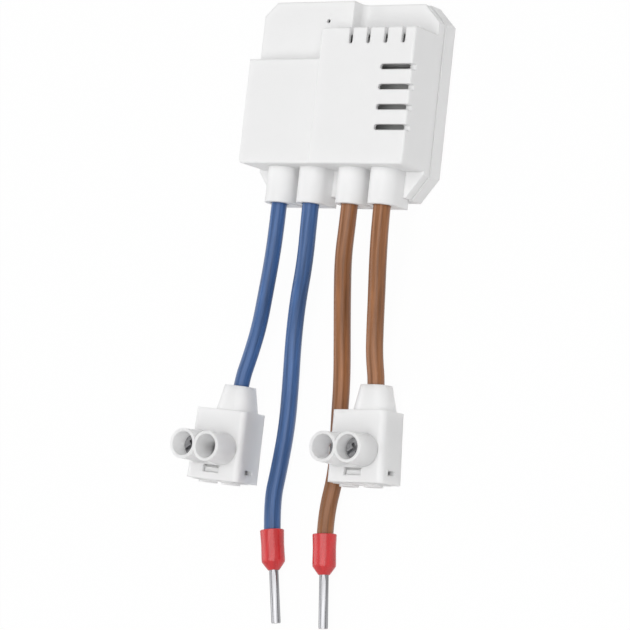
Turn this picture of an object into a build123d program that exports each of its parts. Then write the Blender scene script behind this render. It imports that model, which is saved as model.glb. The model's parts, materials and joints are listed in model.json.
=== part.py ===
from build123d import *
from math import pi, radians, tan
import os

os.makedirs("parts", exist_ok=True)

# A flush smart relay module with two lead-out terminals and two ferruled leads.
# X runs to the right across the front face, Y points away from the leads, and Z
# comes out of the front face. The back of the case, the terminals and the ferrules
# lie on Z = 0. The origin is under the middle of the case. All lengths are in mm.

# Case, outer sizes
case_width = 29.0
case_height = 28.9
parting_height = 3.0
low_level = 4.65
high_level = 7.65
left_block_level = 10.6
right_block_level = 11.0
left_block_width = 0.4362 * case_width
left_block_height = 0.5467 * case_height
right_block_height = 0.7024 * case_height
plateau_width = 0.5448 * case_width
chin = 3.9
bottom_chamfer_x = 2.7
bottom_chamfer_y = 3.55
top_left_chamfer = 2.1
top_right_chamfer = 2.8
rear_ledge = 0.15
edge_round = 0.3
corner_round = 0.6
step_round = 1.0
rear_edge_bevel = 0.35

# Case, walls and inner features
case_wall = 1.0
front_wall = 0.6
rear_wall = 1.2
lip_wall = 0.4
lip_height = 0.5
lip_clearance = 0.1
overrun = 2.0
match = 0.01

# Cable outlets
outlet_radius = 2.2
outlet_overhang = 1.5
outlet_axis_height = 6.6
outlet_pitch = 0.1931 * case_width
outlet_gap = 0.2379 * case_width
outlet_shift = 0.1
lead_bore_clearance = 0.05

# Vents and pinhole
side_vent_count = 4
side_vent_pitch = 2.98
side_vent_height = 0.83
side_vent_reach = 5.4
side_vent_first = 5.95
side_vent_wrap = 1.2
top_vent_count = 4
top_vent_pitch = 3.02
top_vent_width = 0.65
top_vent_reach = 2.45
top_vent_last = 1.95
top_vent_wrap = 1.1
pinhole_radius = 0.3
pinhole_from_left = 0.3966 * case_width
pinhole_from_top = 2.95

# Leads
wire_diameter = 2.65
conductor_diameter = 1.13
cord_start_depth = 3.0
conductor_run = 0.62

# Main board and what it carries
board_thickness = 1.0
board_standoff = 0.4
board_clearance = 0.3
standoff_radius = 1.1
standoff_inset = 3.4

# Relay, lying on its side
relay_thickness = 5.0
relay_right_gap = 0.6
relay_lower_gap = 1.28
relay_upper_gap = 0.02
relay_column_gap = 0.85
relay_case_wall = 0.4
relay_base_height = 1.5
relay_base_clearance = 0.05
pin_width = 0.8
pin_thickness = 0.5
pin_reach = 0.9
core_radius = 0.8
coil_radius = 1.75
contact_room = 12.0
flange_thickness = 0.5
flange_size = 3.9
coil_rear_gap = 1.1
pin_exit_height = 6.1
yoke_thickness = 0.8
yoke_width = 3.6
yoke_gap = 0.15
armature_thickness = 0.7
armature_gap = 0.35
hinge_clearance = 0.1
hinge_nose_radius = 0.25
hinge_groove_radius = 0.3
contact_spring_thickness = 0.15
contact_spring_width = 2.4
contact_spring_length = 5.6
contact_radius = 0.7
contact_thickness = 0.35
contact_gap = 0.6
fixed_strip_thickness = 0.4
fixed_strip_width = 2.6
riser_width = 0.5

# Other parts on the board
film_length = 0.3448 * case_width
film_upper_gap = 0.5
film_height = 6.9
film_round = 0.4
film_right_gap = 0.6
strip_gap = 0.1
resistor_radius = 1.1
resistor_length = 6.2
resistor_waist = 0.25
resistor_cap_length = 1.2
resistor_from_film = 0.4
electrolytic_radius = 0.0865 * case_height
electrolytic_height = 6.7
electrolytic_groove = 0.25
electrolytic_groove_height = 1.4
column_gap = 0.55
column_upper_gap = 0.4
choke_flange_inset = 0.05
choke_core_radius = 1.1
choke_height = 6.0
choke_flange_thickness = 0.7
choke_winding_inset = 0.25
choke_spacing_gap = 0.4
rectifier_length = 0.162 * case_width
rectifier_width = 0.135 * case_height
rectifier_height = 2.4
rectifier_lead = 0.5
radio_board_width = 0.2414 * case_width
radio_upper_gap = 2.8
radio_board_thickness = 0.8
radio_board_lift = 0.8
radio_header_width = 1.2
radio_from_left = 1.0
radio_from_block = 0.4
shield_inset = 0.7
shield_height = 1.6
antenna_radius = 0.25
antenna_height = 3.1
antenna_drop = 1.75
switch_size = 2.8
switch_height = 3.2
switch_frame_wall = 0.7
plunger_radius = 0.6
plunger_height = 0.5
plunger_flange_radius = 0.85
plunger_flange_height = 0.4
plunger_clearance = 0.05
plunger_travel = 0.25

# Ferrules, 1 square millimetre by 8
ferrule_pin_length = 8.0
ferrule_pin_diameter = 1.5
collar_length = 6.0
collar_diameter = 3.6
collar_shoulder_length = 4.75
collar_neck_diameter = 1.75
collar_mouth_depth = 4.6
ferrule_inner_length = 0.9
ferrule_inner_step = 0.25

# Lead-out terminals
terminal_top_width = 9.05
terminal_bottom_width = 9.55
terminal_height = 10.6
terminal_depth = 5.6
terminal_wall = 0.8
terminal_left_wall = 0.4
terminal_front_round = 0.9
terminal_rear_round = 0.3
gland_height = 3.8
gland_base_width = 6.2
gland_base_depth = 5.2
gland_base_round = 2.2
gland_top_width = 4.5
gland_top_depth = 4.0
gland_top_round = 1.6
gland_from_centre = 1.2
turret_radius = 2.25
turret_base_radius = 2.4
turret_bore_radius = 1.8
turret_length = 4.6
turret_pitch = 4.2
turret_right_place = 1.5
turret_axis_height = 4.7
front_window_width = 3.0
front_window_height = 1.1
front_window_left = 1.75
window_height_place = 1.6
side_window_width = 1.9
side_window_height = 0.7
tooth_upper_gap = 0.33
tooth_left_gap = 0.25
tooth_clearance = 0.05
insert_thickness = 2.3
insert_proud = 0.15
insert_clearance = 0.1
entry_radius = 1.05
entry_rim_radius = 1.45
entry_rim_height = 0.3
block_length = 5.0
block_side_wall = 0.4
block_rear_place = 1.0
block_depth = 3.3
wire_bore_radius = 0.95
wire_bore_floor = 0.35
wire_bore_length = 4.2
screw_head_radius = 1.6
screw_head_height = 1.4
screw_shank_radius = 1.2
screw_shank_length = 2.4
screw_clearance = 0.05
screw_hole_floor = 0.25
screw_slot_width = 0.5
screw_slot_depth = 0.7
screw_cross_share = 0.55
screw_slot_turn = 35
foot_radius = 1.0
foot_thickness = 0.45
foot_gap = 0.02
cord_in_gland = 3.9
tail_gap = 0.1

# Where the loose ends lie, seen from the front: across, and away from the outlets' ends
left_terminal_place = (-16.58, 41.725)
left_terminal_turn = 1.8
left_screw_recesses = (2.7, 4.3)
right_terminal_place = (8.6, 40.475)
right_terminal_turn = -2.6
right_screw_recesses = (4.3, 2.2)
blue_ferrule_place = (-7.1, 48.325)
blue_ferrule_turn = 10.5
brown_ferrule_place = (2.25, 48.225)
brown_ferrule_turn = 6.3
ferrule_axis_height = collar_diameter / 2

# Free runs of the four leads: across, away from the outlets' ends, and height
straight_run = 2.325
bend_share = 0.45
blue_terminal_run = [
    (-9.5, 7.625, 6.0), (-10.75, 13.125, 4.9), (-12.15, 18.125, 3.6), (-13.6, 22.425, 2.9),
    (-14.91, 26.77, 2.8), (-15.05, 31.268, 2.8),
]
blue_ferrule_run = [
    (-3.9, 8.325, 5.6), (-5.6, 14.125, 3.8), (-6.7, 20.125, 2.2), (-6.9, 26.325, 1.4),
    (-6.75, 32.725, 1.35), (-7.3, 38.925, 1.35), (-7.756, 44.785, 1.8), (-6.444, 51.865, 1.8),
]
brown_ferrule_run = [
    (2.8, 7.625, 5.7), (2.3, 13.325, 4.0), (2.0, 19.325, 2.3), (2.1, 25.525, 1.4),
    (2.25, 31.725, 1.35), (2.5, 37.925, 1.35), (1.855, 44.645, 1.8), (2.645, 51.803, 1.8),
]
brown_terminal_run = [
    (9.05, 7.725, 6.0), (8.75, 13.125, 4.8), (8.35, 17.925, 3.6), (8.3, 21.725, 2.95),
    (9.137, 25.836, 2.8), (9.323, 29.931, 2.8),
]

# Places that follow from the sizes
total_length = outlet_overhang + case_height + rear_ledge
outlet_end = -total_length / 2
case_bottom = outlet_end + outlet_overhang
case_top = case_bottom + case_height
case_right = case_width / 2
case_left = -case_right
block_bottom = case_bottom + chin
left_block_top = block_bottom + left_block_height
right_block_top = block_bottom + right_block_height
block_split = case_left + left_block_width
plateau_right = case_left + plateau_width
board_bottom = rear_wall + board_standoff
board_top = board_bottom + board_thickness
wire_radius = wire_diameter / 2
outlet_bore_radius = wire_radius + lead_bore_clearance
outlet_places = [
    outlet_shift + side * (outlet_gap / 2 + turn * outlet_pitch)
    for side, turn in ((-1, 1), (-1, 0), (1, 0), (1, 1))
]
case_corners = [
    (case_left, case_top - top_left_chamfer),
    (case_left + top_left_chamfer, case_top),
    (case_right - top_right_chamfer, case_top),
    (case_right, case_top - top_right_chamfer),
    (case_right, case_bottom + bottom_chamfer_y),
    (case_right - bottom_chamfer_x, case_bottom),
    (case_left + bottom_chamfer_x, case_bottom),
    (case_left, case_bottom + bottom_chamfer_y),
]


def case_sketch(height, growth=0):
    """Eight-sided outline of the case at a height, grown outwards or shrunk."""
    with BuildSketch(Plane.XY.offset(height)) as outline:
        with BuildLine():
            Polyline(*case_corners, close=True)
        make_face()
        if growth:
            offset(amount=growth, kind=Kind.INTERSECTION)
    return outline.sketch


def window_sketch(height, left, right, bottom, top):
    """Upright rectangle between four coordinates, at a height."""
    with BuildSketch(Plane.XY.offset(height)) as window:
        with Locations(((left + right) / 2, (bottom + top) / 2)):
            Rectangle(right - left, top - bottom)
    return window.sketch


def at(shapes, axis, place):
    """Those of the edges or faces whose centre lies at a coordinate along an axis."""
    return shapes.filter_by_position(axis, place - match, place + match)


def finish(builder, name):
    """Label a finished piece and write it."""
    builder.part.label = name
    export_step(builder.part, f"parts/{name}.step")


# Front cover: a stepped shell with four outlets, eight vents and a pinhole
left_block = window_sketch(low_level, case_left, block_split, block_bottom, left_block_top)
right_block = window_sketch(low_level, block_split, case_right, block_bottom, right_block_top)

with BuildPart() as front_cover:
    extrude(case_sketch(parting_height), amount=low_level - parting_height)
    with BuildSketch(Plane.XY.offset(parting_height)):
        add(case_sketch(0))
        add(window_sketch(0, case_left, plateau_right, case_bottom + chin, case_top), mode=Mode.INTERSECT)
    extrude(amount=high_level - parting_height)
    step_edge = at(at(front_cover.edges().filter_by(Axis.Y), Axis.X, plateau_right), Axis.Z, low_level)
    fillet(step_edge, radius=step_round)
    extrude(left_block, amount=left_block_level - low_level)
    extrude(right_block, amount=right_block_level - low_level)
    upright = front_cover.edges().filter_by(Axis.Z)
    lower_corners = at(upright, Axis.Y, block_bottom)
    split_corner = at(at(upright, Axis.Y, right_block_top), Axis.X, block_split)
    fillet(at(lower_corners, Axis.X, case_left) + at(lower_corners, Axis.X, case_right) + split_corner,
           radius=corner_round)
    front_faces = front_cover.faces().filter_by(Axis.Z)
    left_front = at(front_faces, Axis.Z, left_block_level)
    right_front = at(front_faces, Axis.Z, right_block_level)
    left_rim = left_front.edges().filter_by_position(Axis.X, case_left - match, block_split - match)
    fillet(left_rim + right_front.edges(), radius=edge_round)
    # outlets: half-round noses that run straight back to the parting plane
    with BuildSketch(Plane.XZ.offset(-block_bottom - case_wall)) as outlets:
        for place in outlet_places:
            with Locations((place, outlet_axis_height)):
                Circle(outlet_radius)
            with Locations((place, (outlet_axis_height + parting_height) / 2)):
                Rectangle(2 * outlet_radius, outlet_axis_height - parting_height)
    extrude(amount=block_bottom + case_wall - outlet_end)
    # inside, one stepped hollow
    extrude(case_sketch(parting_height, -case_wall), amount=low_level - front_wall - parting_height,
            mode=Mode.SUBTRACT)
    with BuildSketch(Plane.XY.offset(parting_height)):
        add(case_sketch(0, -case_wall))
        add(window_sketch(0, case_left, plateau_right - case_wall, block_bottom + case_wall, case_top),
            mode=Mode.INTERSECT)
    extrude(amount=high_level - front_wall - parting_height, mode=Mode.SUBTRACT)
    extrude(window_sketch(parting_height, case_left + case_wall, block_split + case_wall,
                          block_bottom + case_wall, left_block_top - case_wall),
            amount=left_block_level - front_wall - parting_height, mode=Mode.SUBTRACT)
    extrude(window_sketch(parting_height, block_split + case_wall, case_right - case_wall,
                          block_bottom + case_wall, right_block_top - case_wall),
            amount=right_block_level - front_wall - parting_height, mode=Mode.SUBTRACT)
    # lead bores through the outlets
    with BuildSketch(Plane.XZ.offset(-outlet_end + overrun)):
        with Locations(*[(place, outlet_axis_height) for place in outlet_places]):
            Circle(outlet_bore_radius)
    extrude(amount=-(block_bottom + case_wall - outlet_end + 2 * overrun), mode=Mode.SUBTRACT)
    # vents that wrap over the right edge and the top edge of the right block
    with BuildSketch(Plane.XY.offset(right_block_level - side_vent_wrap)):
        for number in range(side_vent_count):
            vent_y = right_block_top - side_vent_first - number * side_vent_pitch
            with Locations((case_right - side_vent_reach / 2 + side_vent_height / 2, vent_y)):
                SlotOverall(side_vent_reach + side_vent_height, side_vent_height)
    extrude(amount=side_vent_wrap + overrun, mode=Mode.SUBTRACT)
    with BuildSketch(Plane.XY.offset(right_block_level - top_vent_wrap)):
        for number in range(top_vent_count):
            vent_x = case_right - top_vent_last - number * top_vent_pitch
            with Locations((vent_x, right_block_top - top_vent_reach / 2 + top_vent_width / 2)):
                SlotOverall(top_vent_reach + top_vent_width, top_vent_width, rotation=90)
    extrude(amount=top_vent_wrap + overrun, mode=Mode.SUBTRACT)
    # pinhole over the pairing switch
    with BuildSketch(Plane.XY.offset(high_level + overrun)):
        with Locations((case_left + pinhole_from_left, case_top - pinhole_from_top)):
            Circle(pinhole_radius)
    extrude(amount=-(front_wall + 2 * overrun), mode=Mode.SUBTRACT)
finish(front_cover, "front_cover")

# Rear cover: a flat tray with a locating lip, a ledge at the parting line and board standoffs
standoff_places = [
    (case_left + standoff_inset, case_top - standoff_inset),
    (case_right - standoff_inset, case_top - standoff_inset),
    (case_left + standoff_inset, case_bottom + standoff_inset),
    (case_right - standoff_inset, case_bottom + standoff_inset),
]

with BuildPart() as rear_cover:
    extrude(case_sketch(0, rear_ledge), amount=parting_height)
    bottom_rim = at(rear_cover.faces().filter_by(Axis.Z), Axis.Z, 0)
    chamfer(bottom_rim.edges(), length=rear_edge_bevel)
    extrude(case_sketch(parting_height, -case_wall - lip_clearance), amount=lip_height)
    extrude(case_sketch(rear_wall, -case_wall - lip_clearance - lip_wall), amount=parting_height,
            mode=Mode.SUBTRACT)
    with BuildSketch(Plane.XY.offset(rear_wall)):
        with Locations(*standoff_places):
            Circle(standoff_radius)
    extrude(amount=board_standoff)
finish(rear_cover, "rear_cover")

# Main board on the standoffs
board_growth = -case_wall - lip_clearance - lip_wall - board_clearance

with BuildPart() as main_board:
    extrude(case_sketch(board_bottom, board_growth), amount=board_thickness)
finish(main_board, "main_board")

# Leads inside the case: an insulated end in each outlet and a bare end down to the board
stub_outer_end = outlet_end + cord_start_depth
stub_inner_end = block_bottom + case_wall


def lead_stubs(places):
    """Insulated ends of a pair of leads, from the cord's start to just inside the case."""
    with BuildPart() as stubs:
        with BuildSketch(Plane.XZ.offset(-stub_outer_end)):
            with Locations(*[(place, outlet_axis_height) for place in places]):
                Circle(wire_radius)
        extrude(amount=stub_outer_end - stub_inner_end)
    return stubs


blue_leads = lead_stubs(outlet_places[:2])
finish(blue_leads, "blue_leads")
brown_leads = lead_stubs(outlet_places[2:])
finish(brown_leads, "brown_leads")

with BuildPart() as lead_conductors:
    for place in outlet_places:
        with BuildLine() as drop:
            Polyline(
                (place, stub_inner_end, outlet_axis_height),
                (place, stub_inner_end + conductor_run, outlet_axis_height),
                (place, stub_inner_end + conductor_run, board_top),
            )
        with BuildSketch(Plane(origin=drop.line @ 0, z_dir=drop.line % 0)):
            Circle(conductor_diameter / 2)
        sweep(path=drop.line, transition=Transition.RIGHT)
finish(lead_conductors, "lead_conductors")


def block_on_board(left, right, bottom, top, low, high):
    """Plain rectangular piece between six coordinates."""
    with BuildPart() as block:
        extrude(window_sketch(low, left, right, bottom, top), amount=high - low)
    return block


# Relay case and base, lying on the board with its pins towards the outlets
column_x = case_left + case_wall + column_gap + electrolytic_radius
relay_right = case_right - case_wall - relay_right_gap
relay_left = column_x + electrolytic_radius + relay_column_gap
relay_length = relay_right - relay_left
relay_width = left_block_height - 2 * case_wall - relay_lower_gap - relay_upper_gap
relay_bottom = block_bottom + case_wall + relay_lower_gap
relay_top = relay_bottom + relay_width
relay_low = board_top
relay_high = relay_low + relay_thickness
relay_inner_bottom = relay_bottom + relay_base_height

relay_base = block_on_board(
    relay_left + relay_case_wall + relay_base_clearance,
    relay_right - relay_case_wall - relay_base_clearance,
    relay_bottom, relay_inner_bottom,
    relay_low + relay_case_wall + relay_base_clearance, relay_high - relay_case_wall - relay_base_clearance)
finish(relay_base, "relay_base")

with BuildPart() as relay_cover:
    extrude(window_sketch(relay_low, relay_left, relay_right, relay_bottom, relay_top),
            amount=relay_thickness)
    fillet(relay_cover.edges().filter_by(Axis.Y), radius=relay_case_wall)
    extrude(window_sketch(relay_low + relay_case_wall, relay_left + relay_case_wall,
                          relay_right - relay_case_wall, relay_bottom, relay_top - relay_case_wall),
            amount=relay_thickness - 2 * relay_case_wall, mode=Mode.SUBTRACT)
finish(relay_cover, "relay_cover")

# one pin between each two leads, and one beyond the last
pin_places = [place + outlet_pitch / 2 for place in outlet_places]
pin_places[1] = (outlet_places[1] + outlet_places[2]) / 2

with BuildPart() as relay_pins:
    for pin_x in pin_places:
        with BuildSketch(Plane.YZ.offset(pin_x - pin_width / 2)):
            with BuildLine():
                Polyline(
                    (relay_bottom, pin_exit_height),
                    (relay_bottom - pin_reach, pin_exit_height),
                    (relay_bottom - pin_reach, board_top),
                    (relay_bottom - pin_reach + pin_thickness, board_top),
                    (relay_bottom - pin_reach + pin_thickness, pin_exit_height - pin_thickness),
                    (relay_bottom, pin_exit_height - pin_thickness),
                    close=True,
                )
            make_face()
        extrude(amount=pin_width)
finish(relay_pins, "relay_pins")

# Relay works: bobbin, winding, yoke with core, armature and contacts
coil_middle_height = relay_low + relay_thickness / 2
coil_y = relay_top - relay_case_wall - relay_base_clearance - flange_size / 2 - yoke_gap
coil_left = relay_left + relay_case_wall + coil_rear_gap
coil_length = relay_length - contact_room
coil_right = coil_left + coil_length + 2 * flange_thickness

with BuildPart() as relay_bobbin:
    for start in (coil_left, coil_right - flange_thickness):
        with BuildSketch(Plane.YZ.offset(start)):
            with Locations((coil_y, coil_middle_height)):
                Rectangle(flange_size, flange_size)
        extrude(amount=flange_thickness)
    with BuildSketch(Plane.YZ.offset(coil_left)):
        with Locations((coil_y, coil_middle_height)):
            Circle(core_radius + flange_thickness)
    extrude(amount=coil_right - coil_left)
    with BuildSketch(Plane.YZ.offset(coil_left)):
        with Locations((coil_y, coil_middle_height)):
            Circle(core_radius + relay_base_clearance)
    extrude(amount=coil_right - coil_left, mode=Mode.SUBTRACT)
finish(relay_bobbin, "relay_bobbin")

with BuildPart() as relay_coil:
    with BuildSketch(Plane.YZ.offset(coil_left + flange_thickness)):
        with Locations((coil_y, coil_middle_height)):
            Circle(coil_radius)
            Circle(core_radius + flange_thickness, mode=Mode.SUBTRACT)
    extrude(amount=coil_length)
finish(relay_coil, "relay_coil")

yoke_top = coil_y - flange_size / 2 - yoke_gap
yoke_bottom = yoke_top - yoke_thickness
core_tip = coil_right + flange_thickness / 2
hinge_x = core_tip + armature_gap
hinge_y = (yoke_top + yoke_bottom) / 2
yoke_low = coil_middle_height - yoke_width / 2

with BuildPart() as relay_yoke:
    with BuildSketch(Plane.XY.offset(yoke_low)):
        with BuildLine():
            Polyline(
                (hinge_x - hinge_clearance, yoke_top), (hinge_x - hinge_clearance, yoke_bottom),
                (coil_left - yoke_thickness, yoke_bottom),
                (coil_left - yoke_thickness, coil_y + flange_size / 2),
                (coil_left, coil_y + flange_size / 2), (coil_left, yoke_top),
                close=True,
            )
        make_face()
    extrude(amount=yoke_width)
    with BuildSketch(Plane.XY.offset(yoke_low)):
        with Locations((hinge_x, hinge_y)):
            Circle(hinge_nose_radius)
    extrude(amount=yoke_width)
    with BuildSketch(Plane.YZ.offset(coil_left)):
        with Locations((coil_y, coil_middle_height)):
            Circle(core_radius)
    extrude(amount=core_tip - coil_left)
finish(relay_yoke, "relay_yoke")

armature_right = hinge_x + armature_thickness

with BuildPart() as relay_armature:
    extrude(window_sketch(yoke_low, hinge_x, armature_right, yoke_bottom,
                          coil_y + core_radius + flange_thickness), amount=yoke_width)
    with BuildSketch(Plane.XY.offset(yoke_low)):
        with Locations((hinge_x, hinge_y)):
            Circle(hinge_groove_radius)
    extrude(amount=yoke_width, mode=Mode.SUBTRACT)
finish(relay_armature, "relay_armature")

# the spring leaves the armature at the hinge and carries the moving contact beside it
spring_bottom = yoke_bottom
spring_top = spring_bottom + contact_spring_thickness
spring_low = coil_middle_height - contact_spring_width / 2
contact_x = armature_right + contact_spring_length - contact_radius

with BuildPart() as relay_contact_spring:
    extrude(window_sketch(spring_low, armature_right, armature_right + contact_spring_length,
                          spring_bottom, spring_top), amount=contact_spring_width)
    with BuildSketch(Plane.XZ.offset(-spring_top)):
        with Locations((contact_x, coil_middle_height)):
            Circle(contact_radius)
    extrude(amount=-contact_thickness)
finish(relay_contact_spring, "relay_contact_spring")

fixed_face = spring_top + contact_thickness + contact_gap
fixed_low = coil_middle_height - fixed_strip_width / 2
riser_left = contact_x + contact_radius + riser_width
strip_near = fixed_face + contact_thickness
strip_far = strip_near + fixed_strip_thickness

with BuildPart() as relay_fixed_contact:
    with BuildSketch(Plane.XZ.offset(-fixed_face)):
        with Locations((contact_x, coil_middle_height)):
            Circle(contact_radius)
    extrude(amount=-contact_thickness)
    with BuildSketch(Plane.XY.offset(fixed_low)):
        with BuildLine():
            Polyline(
                (contact_x - contact_radius, strip_near),
                (contact_x - contact_radius, strip_far),
                (riser_left + fixed_strip_thickness, strip_far),
                (riser_left + fixed_strip_thickness, relay_inner_bottom),
                (riser_left, relay_inner_bottom),
                (riser_left, strip_near),
                close=True,
            )
        make_face()
    extrude(amount=fixed_strip_width)
finish(relay_fixed_contact, "relay_fixed_contact")

# Film capacitor and fusible resistor in the strip above the relay
film_right = case_right - case_wall - film_right_gap
film_left = film_right - film_length
film_bottom = relay_top + strip_gap
film_width = right_block_height - left_block_height - film_upper_gap

with BuildPart() as filter_capacitor:
    extrude(window_sketch(board_top, film_left, film_right, film_bottom, film_bottom + film_width),
            amount=film_height)
    fillet(filter_capacitor.edges().filter_by(Axis.Z), radius=film_round)
finish(filter_capacitor, "filter_capacitor")

resistor_x = film_left - resistor_from_film - resistor_radius
resistor_y = film_bottom + film_width / 2

with BuildPart() as fusible_resistor:
    with BuildSketch(Plane.XY.offset(board_top)):
        with Locations((resistor_x, resistor_y)):
            Circle(resistor_radius - resistor_waist)
    extrude(amount=resistor_length)
    for start in (board_top, board_top + resistor_length - resistor_cap_length):
        with BuildSketch(Plane.XY.offset(start)):
            with Locations((resistor_x, resistor_y)):
                Circle(resistor_radius)
        extrude(amount=resistor_cap_length)
finish(fusible_resistor, "fusible_resistor")

# Electrolytic capacitor and choke, standing in a column beside the relay
electrolytic_y = left_block_top - case_wall - column_upper_gap - electrolytic_radius
choke_y = electrolytic_y - 2 * electrolytic_radius - choke_spacing_gap
choke_flange_radius = electrolytic_radius - choke_flange_inset
choke_winding_radius = choke_flange_radius - choke_winding_inset

with BuildPart() as bulk_capacitor:
    with BuildSketch(Plane.XY.offset(board_top)):
        with Locations((column_x, electrolytic_y)):
            Circle(electrolytic_radius)
    extrude(amount=electrolytic_height)
    with BuildSketch(Plane.XY.offset(board_top + electrolytic_groove_height)):
        with Locations((column_x, electrolytic_y)):
            Circle(electrolytic_radius)
            Circle(electrolytic_radius - electrolytic_groove, mode=Mode.SUBTRACT)
    extrude(amount=electrolytic_groove, mode=Mode.SUBTRACT)
finish(bulk_capacitor, "bulk_capacitor")

with BuildPart() as choke_core:
    with BuildSketch(Plane.XY.offset(board_top)):
        with Locations((column_x, choke_y)):
            Circle(choke_core_radius)
    extrude(amount=choke_height)
    for start in (board_top, board_top + choke_height - choke_flange_thickness):
        with BuildSketch(Plane.XY.offset(start)):
            with Locations((column_x, choke_y)):
                Circle(choke_flange_radius)
        extrude(amount=choke_flange_thickness)
finish(choke_core, "choke_core")

with BuildPart() as choke_winding:
    with BuildSketch(Plane.XY.offset(board_top + choke_flange_thickness)):
        with Locations((column_x, choke_y)):
            Circle(choke_winding_radius)
            Circle(choke_core_radius, mode=Mode.SUBTRACT)
    extrude(amount=choke_height - 2 * choke_flange_thickness)
finish(choke_winding, "choke_winding")

# Pairing switch under the pinhole, and the rectifier below it
switch_x = case_left + pinhole_from_left
switch_y = case_top - pinhole_from_top
switch_top = board_top + switch_height
plunger_bottom = switch_top - switch_frame_wall - plunger_flange_height - plunger_clearance

with BuildPart() as pair_switch_body:
    with BuildSketch(Plane.XY.offset(board_top)):
        with Locations((switch_x, switch_y)):
            Rectangle(switch_size, switch_size)
    extrude(amount=switch_height)
    with BuildSketch(Plane.XY.offset(plunger_bottom - plunger_travel - plunger_clearance)):
        with Locations((switch_x, switch_y)):
            Circle(plunger_flange_radius + plunger_clearance)
    extrude(amount=plunger_travel + plunger_flange_height + 2 * plunger_clearance, mode=Mode.SUBTRACT)
    with BuildSketch(Plane.XY.offset(plunger_bottom)):
        with Locations((switch_x, switch_y)):
            Circle(plunger_radius + plunger_clearance)
    extrude(amount=switch_height, mode=Mode.SUBTRACT)
finish(pair_switch_body, "pair_switch_body")

with BuildPart() as pair_switch_plunger:
    with BuildSketch(Plane.XY.offset(plunger_bottom)):
        with Locations((switch_x, switch_y)):
            Circle(plunger_flange_radius)
    extrude(amount=plunger_flange_height)
    with BuildSketch(Plane.XY.offset(plunger_bottom)):
        with Locations((switch_x, switch_y)):
            Circle(plunger_radius)
    extrude(amount=switch_top + plunger_height - plunger_bottom)
finish(pair_switch_plunger, "pair_switch_plunger")

rectifier_top = switch_y - switch_size / 2 - strip_gap

with BuildPart() as bridge_rectifier:
    extrude(window_sketch(board_top, switch_x - rectifier_length / 2, switch_x + rectifier_length / 2,
                          rectifier_top - rectifier_width + rectifier_lead, rectifier_top - rectifier_lead),
            amount=rectifier_height)
    with BuildSketch(Plane.XY.offset(board_top)):
        with Locations((switch_x, rectifier_top - rectifier_width / 2)):
            with GridLocations(rectifier_length - 2 * rectifier_lead, 0, 2, 1):
                Rectangle(rectifier_lead, rectifier_width)
    extrude(amount=rectifier_lead)
finish(bridge_rectifier, "bridge_rectifier")

# Radio board on its header in the upper left, with a shield can and a wire antenna
radio_left = case_left + radio_from_left + case_wall
radio_bottom = left_block_top + radio_from_block
radio_low = board_top + radio_board_lift
radio_top = case_top - radio_upper_gap + radio_from_block
radio_right = radio_left + radio_board_width

with BuildPart() as radio_board:
    extrude(window_sketch(radio_low, radio_left, radio_right, radio_bottom, radio_top),
            amount=radio_board_thickness)
    extrude(window_sketch(board_top, radio_left, radio_left + radio_header_width, radio_bottom, radio_top),
            amount=radio_board_lift)
finish(radio_board, "radio_board")

with BuildPart() as radio_shield:
    extrude(window_sketch(radio_low + radio_board_thickness,
                          radio_left + shield_inset, radio_right - shield_inset,
                          radio_bottom + shield_inset, radio_top - shield_inset),
            amount=shield_height)
    fillet(radio_shield.edges().filter_by(Axis.Z), radius=film_round)
finish(radio_shield, "radio_shield")

antenna_y = case_top - case_wall - lip_clearance - lip_wall - board_clearance - antenna_radius
antenna_right = case_right - top_right_chamfer - case_wall

with BuildPart() as antenna_wire:
    with BuildLine() as antenna_route:
        Polyline(
            (switch_x + switch_size / 2 + strip_gap, antenna_y, antenna_height),
            (antenna_right, antenna_y, antenna_height),
            (antenna_right + antenna_drop, antenna_y - antenna_drop, antenna_height),
        )
    with BuildSketch(Plane(origin=antenna_route.line @ 0, z_dir=antenna_route.line % 0)):
        Circle(antenna_radius)
    sweep(path=antenna_route.line, transition=Transition.RIGHT)
finish(antenna_wire, "antenna_wire")

# Cords: the free stretch of each lead


def bend_radii(route):
    """Radius of the tangent arc at each inner point of a route."""
    radii = []
    for before, corner, after in zip(route, route[1:], route[2:]):
        arriving = Vector(*corner) - Vector(*before)
        leaving = Vector(*after) - Vector(*corner)
        half_turn = radians(arriving.get_angle(leaving)) / 2
        shorter_run = min(arriving.length, leaving.length)
        radii.append(bend_share * shorter_run / tan(half_turn))
    return radii


def lead_cord(outlet_place, run, name):
    """One lead's insulated tube, from inside its outlet and along its free run."""
    route = [
        (outlet_place, stub_outer_end, outlet_axis_height),
        (outlet_place, outlet_end - straight_run, outlet_axis_height),
    ]
    route += [(across, outlet_end - away, height) for across, away, height in run]
    radii = bend_radii(route)
    with BuildPart() as cord:
        with BuildLine() as path:
            FilletPolyline(*route, radius=radii)
        with BuildSketch(Plane(origin=path.line @ 0, z_dir=path.line % 0)):
            Circle(wire_radius)
        sweep(path=path.line)
    length = path.wire().length
    expected = length * pi * wire_radius**2
    print(name, "length", round(length, 2), "radii", [round(radius, 1) for radius in radii],
          "volume ratio", round(cord.part.volume / expected, 4))
    finish(cord, name)
    return cord


lead_cord(outlet_places[0], blue_terminal_run, "blue_terminal_lead")
lead_cord(outlet_places[1], blue_ferrule_run, "blue_ferrule_lead")
lead_cord(outlet_places[2], brown_ferrule_run, "brown_ferrule_lead")
lead_cord(outlet_places[3], brown_terminal_run, "brown_terminal_lead")

# Ferrules: a metal pin in a plastic collar
ferrule_radius = ferrule_pin_diameter / 2
collar_radius = collar_diameter / 2


def ferrule_axis(place, turn):
    """Plane at the collar's mouth that looks along the ferrule, away from the lead."""
    return Plane(origin=(place[0], outlet_end - place[1], ferrule_axis_height), x_dir=(0, 0, 1),
                 z_dir=Vector(0, -1, 0).rotate(Axis.Z, turn))


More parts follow.
